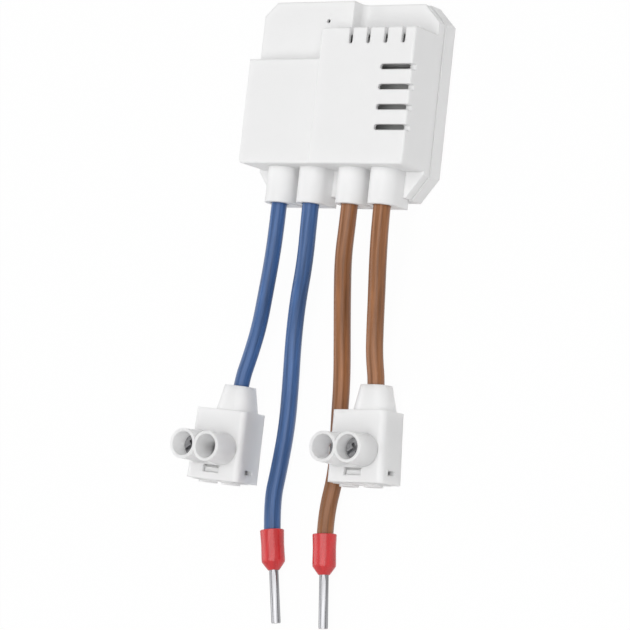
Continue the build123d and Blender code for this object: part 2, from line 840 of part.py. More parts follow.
def collar(mouth, name):
    """Collar with a tapered neck, open towards the lead."""
    with BuildPart() as piece:
        with BuildSketch(mouth):
            Circle(collar_radius)
        extrude(amount=collar_shoulder_length)
        with BuildSketch(mouth.offset(collar_shoulder_length)):
            Circle(collar_radius)
        with BuildSketch(mouth.offset(collar_length)):
            Circle(collar_neck_diameter / 2)
        loft()
        with BuildSketch(mouth):
            Circle(wire_radius + lead_bore_clearance)
        extrude(amount=collar_mouth_depth, mode=Mode.SUBTRACT)
        with BuildSketch(mouth):
            Circle(ferrule_radius - ferrule_inner_step)
        extrude(amount=collar_length, mode=Mode.SUBTRACT)
    finish(piece, name)


def ferrule(mouth, name):
    """Ferrule pin with a thinner end that the collar grips."""
    with BuildPart() as piece:
        with BuildSketch(mouth.offset(collar_length - ferrule_inner_length)):
            Circle(ferrule_radius - ferrule_inner_step)
        extrude(amount=ferrule_inner_length)
        with BuildSketch(mouth.offset(collar_length)):
            Circle(ferrule_radius)
        extrude(amount=ferrule_pin_length)
    finish(piece, name)


blue_mouth = ferrule_axis(blue_ferrule_place, blue_ferrule_turn)
collar(blue_mouth, "blue_lead_collar")
ferrule(blue_mouth, "blue_lead_ferrule")
brown_mouth = ferrule_axis(brown_ferrule_place, brown_ferrule_turn)
collar(brown_mouth, "brown_lead_collar")
ferrule(brown_mouth, "brown_lead_ferrule")

# Lead-out terminals: housing with a gland and two screw turrets, bottom insert,
# clamp block, and two clamp screws with pressure feet
turret_places = (turret_right_place - turret_pitch, turret_right_place)
lead_axis_height = terminal_depth / 2
block_front = block_rear_place + block_depth
wire_bore_height = block_rear_place + wire_bore_floor + wire_bore_radius
block_middle = sum(turret_places) / 2
block_half_width = turret_pitch / 2 + wire_bore_radius + block_side_wall
hollow_left = terminal_left_wall - terminal_top_width / 2
hollow_right = terminal_top_width / 2 - terminal_wall
hollow_middle = (hollow_left + hollow_right) / 2
block_bottom_place = turret_axis_height - block_length / 2


def seat_plane(place, turn):
    """Plane of a terminal's back, with its origin at the middle of the bottom edge."""
    return Plane(origin=(place[0], outlet_end - place[1], 0), x_dir=Vector(1, 0, 0).rotate(Axis.Z, -turn),
                 z_dir=(0, 0, 1))


def along_lead(seat, side, length_place, height):
    """Plane across the lead's direction, at a place in the terminal's own sizes."""
    return Plane(origin=seat.from_local_coords(Vector(side, length_place, height)), x_dir=seat.x_dir,
                 z_dir=seat.y_dir)


def terminal_housing(seat, name):
    """Box that narrows towards the lead, with gland, turrets and snap windows."""
    gland_end = along_lead(seat, gland_from_centre, terminal_height + gland_height, lead_axis_height)
    with BuildPart() as housing:
        with BuildSketch(seat):
            with BuildLine():
                Polyline(
                    (-terminal_bottom_width / 2, 0), (terminal_bottom_width / 2, 0),
                    (terminal_top_width / 2, terminal_height), (-terminal_top_width / 2, terminal_height),
                    close=True,
                )
            make_face()
        extrude(amount=terminal_depth)
        long_edges = housing.edges().filter_by(
            lambda edge: edge.length > terminal_height - match
            and abs(edge.tangent_at(0).dot(seat.y_dir)) > 1 - match)
        front_edges = long_edges.filter_by_position(Axis.Z, terminal_depth - match, terminal_depth + match)
        rear_edges = long_edges.filter_by_position(Axis.Z, -match, match)
        fillet(front_edges, radius=terminal_front_round)
        fillet(rear_edges, radius=terminal_rear_round)
        with BuildSketch(along_lead(seat, gland_from_centre, terminal_height, lead_axis_height)):
            RectangleRounded(gland_base_width, gland_base_depth, gland_base_round)
        with BuildSketch(gland_end):
            RectangleRounded(gland_top_width, gland_top_depth, gland_top_round)
        loft()
        for place in turret_places:
            with BuildSketch(seat.offset(terminal_depth)):
                with Locations((place, turret_axis_height)):
                    Circle(turret_base_radius)
            with BuildSketch(seat.offset(terminal_depth + turret_length)):
                with Locations((place, turret_axis_height)):
                    Circle(turret_radius)
            loft()
        # inner hollow, open at the bottom
        with BuildSketch(seat.offset(terminal_wall)):
            with Locations((hollow_middle, (terminal_height - terminal_wall) / 2)):
                Rectangle(hollow_right - hollow_left, terminal_height - terminal_wall)
        extrude(amount=terminal_depth - 2 * terminal_wall, mode=Mode.SUBTRACT)
        with BuildSketch(seat.offset(terminal_depth + turret_length)):
            with Locations(*[(place, turret_axis_height) for place in turret_places]):
                Circle(turret_bore_radius)
        extrude(amount=-(turret_length + 2 * terminal_wall), mode=Mode.SUBTRACT)
        with BuildSketch(gland_end):
            Circle(wire_radius + lead_bore_clearance)
        extrude(amount=-(gland_height + 2 * terminal_wall), mode=Mode.SUBTRACT)
        # snap windows in the front and in both sides
        with BuildSketch(seat.offset(terminal_depth)):
            with Locations((front_window_width / 2 - front_window_left, window_height_place)):
                Rectangle(front_window_width, front_window_height)
        extrude(amount=-2 * terminal_wall, mode=Mode.SUBTRACT)
        side_window_start = window_height_place - side_window_height / 2
        with BuildSketch(along_lead(seat, 0, side_window_start, lead_axis_height)):
            Rectangle(terminal_bottom_width + overrun, side_window_width)
        extrude(amount=side_window_height, mode=Mode.SUBTRACT)
    finish(housing, name)


def terminal_insert(seat, name):
    """Bottom insert with a wire entry under each screw and teeth in the windows."""
    inner_width = hollow_right - hollow_left - 2 * insert_clearance
    inner_depth = terminal_depth - 2 * terminal_wall - 2 * insert_clearance
    with BuildPart() as insert:
        with BuildSketch(along_lead(seat, hollow_middle, -insert_proud, lead_axis_height)):
            Rectangle(inner_width, inner_depth)
        extrude(amount=insert_thickness)
        tooth_width = front_window_width - tooth_left_gap - tooth_clearance
        tooth_middle = front_window_width - front_window_left - tooth_clearance - tooth_width / 2
        tooth_start = window_height_place - front_window_height / 2 + tooth_clearance
        with BuildSketch(along_lead(seat, tooth_middle, tooth_start, terminal_depth - terminal_wall)):
            Rectangle(tooth_width, terminal_wall)
        extrude(amount=front_window_height - tooth_upper_gap - tooth_clearance)
        with BuildSketch(along_lead(seat, block_middle, -insert_proud, wire_bore_height)):
            with GridLocations(turret_pitch, 0, 2, 1):
                Circle(entry_rim_radius)
        extrude(amount=-entry_rim_height)
        with BuildSketch(along_lead(seat, block_middle, insert_thickness, wire_bore_height)):
            with GridLocations(turret_pitch, 0, 2, 1):
                Circle(entry_radius)
        extrude(amount=-(insert_thickness + insert_proud + entry_rim_height), mode=Mode.SUBTRACT)
    finish(insert, name)


def terminal_clamp(seat, name):
    """Clamp block with two wire bores, two screw holes and the tail of the fixed lead."""
    with BuildPart() as clamp:
        with BuildSketch(seat.offset(block_rear_place)):
            with Locations((block_middle, turret_axis_height)):
                Rectangle(2 * block_half_width, block_length)
        extrude(amount=block_depth)
        with BuildSketch(along_lead(seat, block_middle, block_bottom_place, wire_bore_height)):
            with GridLocations(turret_pitch, 0, 2, 1):
                Circle(wire_bore_radius)
        extrude(amount=wire_bore_length, mode=Mode.SUBTRACT)
        with BuildSketch(seat.offset(block_front)):
            with Locations(*[(place, turret_axis_height) for place in turret_places]):
                Circle(screw_shank_radius + screw_clearance)
        extrude(amount=-(block_depth - screw_hole_floor), mode=Mode.SUBTRACT)
        with BuildSketch(along_lead(seat, gland_from_centre, block_bottom_place + block_length,
                                    lead_axis_height)):
            Circle(conductor_diameter / 2)
        extrude(amount=terminal_height + gland_height - block_bottom_place - block_length
                - cord_in_gland - tail_gap)
    finish(clamp, name)


def terminal_screw(seat, place, recess, name):
    """Clamp screw with a slotted cheese head, its head below the turret's rim by the recess."""
    head_top = terminal_depth + turret_length - recess
    with BuildPart() as screw:
        with BuildSketch(seat.offset(head_top - screw_head_height)):
            with Locations((place, turret_axis_height)):
                Circle(screw_head_radius)
        extrude(amount=screw_head_height)
        with BuildSketch(seat.offset(head_top - screw_head_height)):
            with Locations((place, turret_axis_height)):
                Circle(screw_shank_radius)
        extrude(amount=-screw_shank_length)
        with BuildSketch(seat.offset(head_top)):
            with Locations((place, turret_axis_height)):
                Rectangle(2 * screw_head_radius, screw_slot_width, rotation=screw_slot_turn)
                Rectangle(2 * screw_head_radius * screw_cross_share, screw_slot_width,
                          rotation=screw_slot_turn + 90)
        extrude(amount=-screw_slot_depth, mode=Mode.SUBTRACT)
    finish(screw, name)


def pressure_foot(seat, place, recess, name):
    """Round foot that the screw's tip presses on the wire."""
    tip = terminal_depth + turret_length - recess - screw_head_height - screw_shank_length
    with BuildPart() as foot:
        with BuildSketch(seat.offset(tip - foot_gap)):
            with Locations((place, turret_axis_height)):
                Circle(foot_radius)
        extrude(amount=-foot_thickness)
    finish(foot, name)


def lead_out_terminal(place, turn, recesses, side):
    """All pieces of one terminal."""
    seat = seat_plane(place, turn)
    terminal_housing(seat, f"{side}_terminal_housing")
    terminal_insert(seat, f"{side}_terminal_insert")
    terminal_clamp(seat, f"{side}_terminal_clamp")
    for turret_place, recess, hand in zip(turret_places, recesses, ("left", "right")):
        terminal_screw(seat, turret_place, recess, f"{side}_terminal_{hand}_screw")
        pressure_foot(seat, turret_place, recess, f"{side}_terminal_{hand}_foot")


lead_out_terminal(left_terminal_place, left_terminal_turn, left_screw_recesses, "blue")
lead_out_terminal(right_terminal_place, right_terminal_turn, right_screw_recesses, "brown")
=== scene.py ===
"""Looks of the smart relay module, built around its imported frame.

The module lies on its back. Its four leads droop to the floor, two of them into
screw terminals and two into crimped ferrules. The classes hold their sizes in
millimetres, and what they hand to Blender or to the frame is in metres.
"""

from __future__ import annotations

import json
import logging
from collections.abc import Callable, Iterable, Sequence
from dataclasses import dataclass, replace
from enum import Enum
from itertools import product
from math import atan2, cos, exp, pi, radians, sin

import bmesh
import bpy
from mathutils import Matrix, Vector

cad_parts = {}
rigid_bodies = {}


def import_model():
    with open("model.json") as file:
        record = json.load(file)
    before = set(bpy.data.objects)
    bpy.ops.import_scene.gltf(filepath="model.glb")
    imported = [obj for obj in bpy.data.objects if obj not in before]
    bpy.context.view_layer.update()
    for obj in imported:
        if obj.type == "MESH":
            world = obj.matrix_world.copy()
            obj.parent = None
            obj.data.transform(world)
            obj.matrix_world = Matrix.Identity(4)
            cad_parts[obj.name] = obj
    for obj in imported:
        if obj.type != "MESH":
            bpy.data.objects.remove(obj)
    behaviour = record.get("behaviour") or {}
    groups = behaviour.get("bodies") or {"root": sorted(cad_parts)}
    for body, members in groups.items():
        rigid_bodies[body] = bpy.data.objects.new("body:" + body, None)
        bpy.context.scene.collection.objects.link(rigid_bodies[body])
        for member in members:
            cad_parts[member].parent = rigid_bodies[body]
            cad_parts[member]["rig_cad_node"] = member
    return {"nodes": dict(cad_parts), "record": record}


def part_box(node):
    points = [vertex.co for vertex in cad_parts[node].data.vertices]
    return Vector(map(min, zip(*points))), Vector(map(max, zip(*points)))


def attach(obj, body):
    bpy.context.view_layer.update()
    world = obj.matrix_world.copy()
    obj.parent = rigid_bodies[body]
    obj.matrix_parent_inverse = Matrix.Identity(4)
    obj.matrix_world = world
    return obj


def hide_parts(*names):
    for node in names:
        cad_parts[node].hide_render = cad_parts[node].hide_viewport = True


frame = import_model()

MM = 0.001
LOG = logging.getLogger("relay_module")
UP = Vector((0.0, 0.0, 1.0))
Colour = tuple[float, float, float]
Point = tuple[float, float, float]
Socket = bpy.types.NodeSocket
Element = bmesh.types.BMVert | bmesh.types.BMEdge | bmesh.types.BMFace

# Attribute in which a tube keeps where its points were before it was bent
UNBENT = "unbent_place"

# Noise and band values that a blend runs between
NOISE_SPAN = (0.3, 0.7)
BAND_SPAN = (0.45, 0.55)

# Settings that all finishes share
NOISE_DETAIL = 3.0
GRAIN_DETAIL = 2.0
BOARD_DISTORTION = 6.0
ROUGHNESS_DRIFT = 0.15
EDGE_SAMPLES = 6

# Settings of the smooth line of a lead
LINE_ORDER = 3
LINE_STEPS = 24

# How near two heights or a cut have to be to count as the same, in metres
SAME_HEIGHT = 1e-7
CUT_REACH = 1e-8


class Pattern(Enum):
    """How a finish varies over its surface."""

    GRAIN = "fine moulded grain"
    EXTRUDED = "streaks that follow a bent tube"
    BOARD = "printed board with pads and tracks"
    WOUND = "close turns of wire"


@dataclass(frozen=True)
class Finish:
    """One procedural surface finish.

    Sizes, heights, depth, pitch and soft_edge are in millimetres. The drift is how far
    the colour strays from its base, and stretch squeezes the pattern along each axis.
    """

    name: str
    colour: Colour
    roughness: float
    metallic: float = 0.0
    drift: float = 0.03
    drift_size: float = 6.0
    grain_size: float = 0.12
    grain_height: float = 0.004
    pattern: Pattern = Pattern.GRAIN
    stretch: Point = (1.0, 1.0, 1.0)
    second: Colour | None = None
    pitch: float = 0.3
    subsurface: float = 0.0
    depth: float = 0.6
    specular: float = 0.5
    soft_edge: float = 0.0

    def build(self) -> bpy.types.Material:
        """Makes the material, or returns the one made before.

        The frame has a plain material under the slot's own name, so this one's differs.

        Returns:
            The node material of this finish.
        """
        known = bpy.data.materials.get(f"{self.name}_finish")
        return known or FinishGraph(self).material


class FinishGraph:
    """Node graph of one finish, read from Object coordinates or a tube's unbent places."""

    def __init__(self, finish: Finish) -> None:
        """Builds the graph.

        Args:
            finish: what to build.
        """
        self.finish = finish
        self.material = bpy.data.materials.new(f"{finish.name}_finish")
        self.material.use_nodes = True
        self.tree = self.material.node_tree
        self.tree.nodes.clear()
        self.out = self.add("ShaderNodeOutputMaterial")
        self.shader = self.add("ShaderNodeBsdfPrincipled")
        self.link(self.shader.outputs["BSDF"], self.out.inputs["Surface"])
        self.set_plain_values()
        self.place = self.mapped_place()
        self.colour_nodes()
        self.roughness_nodes()
        self.bump_nodes()

    def add(self, kind: str, **values: object) -> bpy.types.Node:
        """Adds a node and sets its properties.

        Args:
            kind: the node's type.
            values: the properties by name.

        Returns:
            The new node.
        """
        node = self.tree.nodes.new(kind)
        for name, value in values.items():
            setattr(node, name, value)
        return node

    def link(self, start: Socket, end: Socket) -> None:
        """Links two sockets."""
        self.tree.links.new(start, end)

    def set_plain_values(self) -> None:
        """Sets the sockets that are the same all over."""
        values = {
            "Metallic": self.finish.metallic,
            "Subsurface Weight": self.finish.subsurface,
            "Subsurface Scale": self.finish.depth * MM,
            "Subsurface Radius": (1.0, 1.0, 1.0),
            "Specular IOR Level": self.finish.specular,
        }
        for name, value in values.items():
            self.shader.inputs[name].default_value = value

    def mapped_place(self) -> Socket:
        """Makes the place that the patterns read.

        Returns:
            The place in millimetres, stretched as the finish says.
        """
        mapping = self.add("ShaderNodeMapping")
        mapping.inputs["Scale"].default_value = [share / MM for share in self.finish.stretch]
        if self.finish.pattern is Pattern.EXTRUDED:
            source = self.add("ShaderNodeAttribute", attribute_name=UNBENT)
            self.link(source.outputs["Vector"], mapping.inputs["Vector"])
        else:
            source = self.add("ShaderNodeTexCoord")
            self.link(source.outputs["Object"], mapping.inputs["Vector"])
        return mapping.outputs["Vector"]

    def noise(self, size: float, detail: float = NOISE_DETAIL) -> Socket:
        """Makes noise over the surface.

        Args:
            size: how large its features are, in millimetres.
            detail: how many finer layers it has.

        Returns:
            Its value, from 0 to 1.
        """
        node = self.add("ShaderNodeTexNoise")
        node.inputs["Scale"].default_value = 1.0 / size
        node.inputs["Detail"].default_value = detail
        self.link(self.place, node.inputs["Vector"])
        return node.outputs["Fac"]

    def between(
        self, factor: Socket, low: float, high: float, span: tuple[float, float] = NOISE_SPAN
    ) -> Socket:
        """Maps a span of a factor onto two values.

        Args:
            factor: what to map.
            low: value at the span's start.
            high: value at the span's end.
            span: where the span of the factor starts and ends.

        Returns:
            The mapped value.
        """
        node = self.add("ShaderNodeMapRange")
        ends = {"From Min": span[0], "From Max": span[1], "To Min": low, "To Max": high}
        for name, value in ends.items():
            node.inputs[name].default_value = value
        self.link(factor, node.inputs["Value"])
        return node.outputs["Result"]

    def blend_colours(self, factor: Socket, first: Colour | Socket, second: Colour) -> Socket:
        """Mixes two colours by a factor.

        Args:
            factor: 0 for the first colour, 1 for the second.
            first: a plain colour, or the socket that gives one.
            second: a plain colour.

        Returns:
            The mixed colour.
        """
        node = self.add("ShaderNodeMix", data_type="RGBA")
        start, end = (socket for socket in node.inputs if socket.type == "RGBA")
        if isinstance(first, Socket):
            self.link(first, start)
        else:
            start.default_value = (*first, 1.0)
        end.default_value = (*second, 1.0)
        self.link(factor, node.inputs["Factor"])
        return next(socket for socket in node.outputs if socket.type == "RGBA")

    def bands(self) -> Socket:
        """Makes slanting bands, bent on a board for its tracks and straight on a winding.

        Returns:
            Their value, from 0 to 1.
        """
        bent = self.finish.pattern is Pattern.BOARD
        node = self.add("ShaderNodeTexWave", wave_type="BANDS", bands_direction="DIAGONAL")
        node.inputs["Scale"].default_value = 1.0 / self.finish.pitch
        node.inputs["Distortion"].default_value = BOARD_DISTORTION if bent else 0.0
        self.link(self.place, node.inputs["Vector"])
        return node.outputs["Fac"]

    def colour_nodes(self) -> None:
        """Makes the base colour with its drift and its second colour."""
        finish = self.finish
        dark = tuple(part * (1 - finish.drift) for part in finish.colour)
        light = tuple(min(1.0, part * (1 + finish.drift)) for part in finish.colour)
        drift = self.between(self.noise(finish.drift_size), 0.0, 1.0)
        colour = self.blend_colours(drift, dark, light)
        if finish.second is not None:
            share = self.between(self.bands(), 0.0, 1.0, BAND_SPAN)
            colour = self.blend_colours(share, colour, finish.second)
        self.link(colour, self.shader.inputs["Base Color"])

    def roughness_nodes(self) -> None:
        """Makes a roughness that drifts a little over the surface."""
        smooth = self.finish.roughness * (1 - ROUGHNESS_DRIFT)
        rough = self.finish.roughness * (1 + ROUGHNESS_DRIFT)
        share = self.between(self.noise(self.finish.drift_size / 3), smooth, rough)
        self.link(share, self.shader.inputs["Roughness"])

    def bump_nodes(self) -> None:
        """Makes the grain or the turns of a winding, over softened edges."""
        bump = self.add("ShaderNodeBump")
        bump.inputs["Distance"].default_value = self.finish.grain_height * MM
        if self.finish.soft_edge:
            edge = self.add("ShaderNodeBevel", samples=EDGE_SAMPLES)
            edge.inputs["Radius"].default_value = self.finish.soft_edge * MM
            self.link(edge.outputs["Normal"], bump.inputs["Normal"])
        if self.finish.pattern is Pattern.WOUND:
            height = self.bands()
        else:
            height = self.noise(self.finish.grain_size, GRAIN_DETAIL)
        self.link(height, bump.inputs["Height"])
        self.link(bump.outputs["Normal"], self.shader.inputs["Normal"])


CASE_WHITE = Finish(
    "case_plastic", (0.845, 0.845, 0.845), 0.45, specular=0.35, drift=0.008,
    grain_height=0.0025, soft_edge=0.28, subsurface=0.4, depth=0.9,
)
TERMINAL_WHITE = Finish(
    "terminal_plastic", (0.965, 0.965, 0.965), 0.36, specular=0.4, drift=0.005,
    grain_height=0.002, soft_edge=0.2, subsurface=0.85, depth=2.4,
)
BLUE_INSULATION = Finish(
    "blue_insulation", (0.05, 0.116, 0.285), 0.3, specular=0.3, drift=0.35, drift_size=0.5,
    grain_size=0.3, grain_height=0.03, pattern=Pattern.EXTRUDED, stretch=(1.0, 1.0, 0.05),
)
BROWN_INSULATION = replace(BLUE_INSULATION, name="brown_insulation", colour=(0.275, 0.114, 0.046))
RED_COLLAR = Finish(
    "red_collar", (0.59, 0.032, 0.036), 0.25, drift=0.12, drift_size=0.6, grain_size=0.45,
    grain_height=0.03, stretch=(1.0, 0.12, 1.0),
)
# The strong lengthwise colour streaks of the tin are partly its uneven tone and partly painted dark
# reflection lines along the pin
FERRULE_TIN = Finish(
    "ferrule_tin", (0.27, 0.27, 0.28), 0.18, metallic=1.0, drift=0.45, drift_size=0.3,
    grain_size=0.15, grain_height=0.006, pattern=Pattern.EXTRUDED, stretch=(1.0, 1.0, 0.03),
)
SCREW_STEEL = Finish(
    "screw_steel", (0.3, 0.3, 0.31), 0.3, metallic=1.0, drift=0.15, drift_size=0.5
)
CLAMP_BRASS = Finish(
    "clamp_brass", (0.68, 0.52, 0.26), 0.3, metallic=1.0, drift=0.1, drift_size=1.0
)
BOARD_GREEN = Finish(
    "board", (0.02, 0.12, 0.05), 0.4, pattern=Pattern.BOARD, second=(0.03, 0.17, 0.07), pitch=1.6
)
TINNED_METAL = Finish(
    "tinned_metal", (0.62, 0.62, 0.62), 0.36, metallic=1.0, drift=0.1, drift_size=1.0
)
COPPER = Finish(
    "copper", (0.66, 0.3, 0.14), 0.3, metallic=1.0, drift=0.08, grain_height=0.03,
    pattern=Pattern.WOUND,
)
BLACK_PLASTIC = Finish("black_plastic", (0.02, 0.02, 0.022), 0.45)
BUTTON_WHITE = Finish("white_button", (0.6, 0.6, 0.58), 0.5)
RELAY_PLASTIC = Finish("relay_plastic", (0.6, 0.6, 0.6), 0.32)
SOFT_IRON = Finish(
    "soft_iron", (0.5, 0.49, 0.47), 0.42, metallic=1.0, drift=0.1, drift_size=0.8
)
SPRING_BRONZE = Finish(
    "spring_bronze", (0.7, 0.48, 0.25), 0.3, metallic=1.0, drift=0.1, drift_size=0.8
)
FILM_CASE = Finish("film_case", (0.6, 0.6, 0.6), 0.34)
CAPACITOR_SLEEVE = Finish("capacitor_sleeve", (0.02, 0.022, 0.04), 0.3)
FERRITE = Finish("ferrite", (0.035, 0.035, 0.038), 0.6, grain_height=0.02)
RESISTOR_BODY = Finish("resistor_body", (0.1, 0.24, 0.2), 0.35)

# Finishes by the names of the record's material slots
FINISHES = {
    finish.name: finish
    for finish in (
        CASE_WHITE, TERMINAL_WHITE, BLUE_INSULATION, BROWN_INSULATION, RED_COLLAR, FERRULE_TIN,
        SCREW_STEEL, CLAMP_BRASS, BOARD_GREEN, TINNED_METAL, COPPER, BLACK_PLASTIC, BUTTON_WHITE,
        RELAY_PLASTIC, SOFT_IRON, SPRING_BRONZE, FILM_CASE, CAPACITOR_SLEEVE, FERRITE,
        RESISTOR_BODY,
    )
}


def dress(piece: bpy.types.Object, finish: Finish) -> None:
    """Gives a piece one finish, and a new piece the slot of that name.

    Args:
        piece: mesh to dress.
        finish: what it gets.
    """
    piece.data.materials.clear()
    piece.data.materials.append(finish.build())


def dress_frame() -> None:
    """Gives every node of the frame the finish of its slot in the record."""
    for entry in frame["record"]["subparts"]:
        dress(frame["nodes"][entry["node"]], FINISHES[entry["material_slot"]])


def place_mesh(mesh: bpy.types.Mesh, body: str, finish: Finish) -> bpy.types.Object:
    """Makes a finished mesh a piece that rides on a body.

    Args:
        mesh: shape with its place in its points.
        body: which body carries it.
        finish: what it is dressed in.

    Returns:
        The new piece.
    """
    piece = bpy.data.objects.new(mesh.name, mesh)
    bpy.context.scene.collection.objects.link(piece)
    dress(piece, finish)
    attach(piece, body)
    return piece


def mesh_of(
    shape: bmesh.types.BMesh, name: str, sharp_angle: float | None = None
) -> bpy.types.Mesh:
    """Turns a bmesh into a mesh and frees it.

    Args:
        shape: what to turn.
        name: what the mesh is called.
        sharp_angle: angle in degrees from which an edge is sharp, if any is.

    Returns:
        The new mesh.
    """
    mesh = bpy.data.meshes.new(name)
    shape.to_mesh(mesh)
    shape.free()
    if sharp_angle is not None:
        mesh.set_sharp_from_angle(angle=radians(sharp_angle))
    return mesh


def verts_of(elements: Iterable[Element]) -> list[bmesh.types.BMVert]:
    """The points among what an operator made."""
    return [item for item in elements if isinstance(item, bmesh.types.BMVert)]


def height_of(face: bmesh.types.BMFace) -> float:
    """Height of a face's middle."""
    return face.calc_center_median().z


@dataclass
class Tube:
    """A bent tube whose section may change along it, made ring by ring.

    Its lengths are in metres. The radius is asked for at an angle and at a distance
    from the tube's start. The sharp angle is in degrees.
    """

    path: list[Vector]
    radius: Callable[[float, float], float]
    segments: int = 40
    sharp_angle: float | None = None

    def planes(self) -> list[Matrix]:
        """Makes planes across the path that don't twist about it.

        Returns:
            One matrix for each point of the path, its Z along the path.
        """
        planes: list[Matrix] = []
        side = UP.cross(self.path[1] - self.path[0]).normalized()
        for number, place in enumerate(self.path):
            before = self.path[max(0, number - 1)]
            after = self.path[min(len(self.path) - 1, number + 1)]
            ahead = (after - before).normalized()
            side = (side - ahead * side.dot(ahead)).normalized()
            turn = Matrix((side, ahead.cross(side), ahead)).transposed().to_4x4()
            planes.append(Matrix.Translation(place) @ turn)
        return planes

    def build(self, name: str) -> bpy.types.Mesh:
        """Extrudes a ring along the path and keeps each point's unbent place.

        Args:
            name: what the mesh is called.

        Returns:
            A closed mesh with the unbent places as an attribute.
        """
        shape = bmesh.new()
        layer = shape.verts.layers.float_vector.new(UNBENT)
        angles = [2 * pi * step / self.segments for step in range(self.segments)]
        made = bmesh.ops.create_circle(shape, cap_ends=True, radius=1.0, segments=self.segments)
        ring = sorted(made["verts"], key=self.angle_of)
        edges = list(shape.edges)
        along = 0.0
        for number, plane in enumerate(self.planes()):
            if number:
                along += (self.path[number] - self.path[number - 1]).length
                grown = bmesh.ops.extrude_edge_only(shape, edges=edges)["geom"]
                edges = [item for item in grown if isinstance(item, bmesh.types.BMEdge)]
                ring = self.next_ring(ring, grown)
            for vert, angle in zip(ring, angles):
                reach = self.radius(angle, along)
                flat = Vector((cos(angle) * reach, sin(angle) * reach, 0.0))
                vert.co = plane @ flat
                vert[layer] = (flat.x, flat.y, along)
        bmesh.ops.contextual_create(shape, geom=edges)
        bmesh.ops.recalc_face_normals(shape, faces=shape.faces)
        for face in shape.faces:
            face.smooth = len(face.verts) == 4
        return mesh_of(shape, name, self.sharp_angle)

    @staticmethod
    def angle_of(vert: bmesh.types.BMVert) -> float:
        """Angle of a point of the first ring, from 0 all the way round."""
        return atan2(vert.co.y, vert.co.x) % (2 * pi)

    @staticmethod
    def next_ring(
        ring: list[bmesh.types.BMVert], grown: list[Element]
    ) -> list[bmesh.types.BMVert]:
        """Puts the new ring's points in the order of the old ring's.

        Args:
            ring: points that were extruded.
            grown: what the extrusion made.

        Returns:
            The point that each old one was extruded to.
        """
        fresh = set(verts_of(grown))
        return [
            next(edge.other_vert(vert) for edge in vert.link_edges if edge.other_vert(vert) in fresh)
            for vert in ring
        ]


@dataclass
class Lead:
    """One insulated lead along a smooth line, ridged lengthwise and a little uneven.

    Lengths are in millimetres. The ridges are thinner places of the insulation, which is
    never thicker than slim times the diameter. The twist is in radians, and the seed makes
    each lead's ridges differ.
    """

    name: str
    finish: Finish
    points: list[Point]
    length: float
    far_pieces: list[str]
    seed: float = 0.0
    diameter: float = 2.65
    slim: float = 0.99
    ridge: float = 0.065
    broad_ridges: int = 4
    broad_share: float = 0.6
    fine_ridges: int = 7
    fine_share: float = 0.4
    fine_shift: float = 2.3
    twist: float = 0.35
    twist_length: float = 13.0
    sway: float = 0.015
    sway_length: float = 3.1
    sway_turn_length: float = 9.0

    def route(self) -> list[Vector]:
        """Reads points from the smooth line that the control points give.

        Returns:
            Places along the NURBS line, in metres.
        """
        curve = bpy.data.curves.new(f"{self.name}_line", "CURVE")
        curve.dimensions = "3D"
        curve.resolution_u = LINE_STEPS
        spline = curve.splines.new("NURBS")
        spline.points.add(len(self.points) - 1)
        for knot, point in zip(spline.points, self.points):
            knot.co = (*[part * MM for part in point], 1.0)
        spline.order_u = LINE_ORDER
        spline.use_endpoint_u = True
        line = bpy.data.objects.new(f"{self.name}_line", curve)
        bpy.context.scene.collection.objects.link(line)
        mesh = bpy.data.meshes.new_from_object(line)
        places = [vert.co.copy() for vert in mesh.vertices]
        bpy.data.objects.remove(line)
        bpy.data.curves.remove(curve)
        bpy.data.meshes.remove(mesh)
        return places

    def radius_at(self, angle: float, along: float) -> float:
        """Radius of the insulation.

        Args:
            angle: where on the section, in radians.
            along: how far from the lead's start, in metres.

        Returns:
            The radius in metres.
        """
        wander = sin(along / (self.twist_length * MM) + self.seed)
        turned = angle + self.seed + self.twist * wander
        ridges = self.broad_share * sin(self.broad_ridges * turned)
        ridges += self.fine_share * sin(self.fine_ridges * turned + self.fine_shift * self.seed)
        sways = sin(along / (self.sway_length * MM) + self.seed)
        sways *= cos(2 * angle + along / (self.sway_turn_length * MM))
        share = self.slim - self.ridge * (1.0 - ridges) / 2 - self.sway * (1.0 - sways) / 2
        return self.diameter / 2 * MM * share

    def build(self) -> bpy.types.Object:
        """Returns:
            The tube, which stands for the lead's node.
        """
        path = self.route()
        mesh = Tube(path, self.radius_at).build(f"{self.name}_tube")
        piece = place_mesh(mesh, "module", self.finish)
        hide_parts(self.name)
        LOG.info("lead %s", self.name)
        return piece


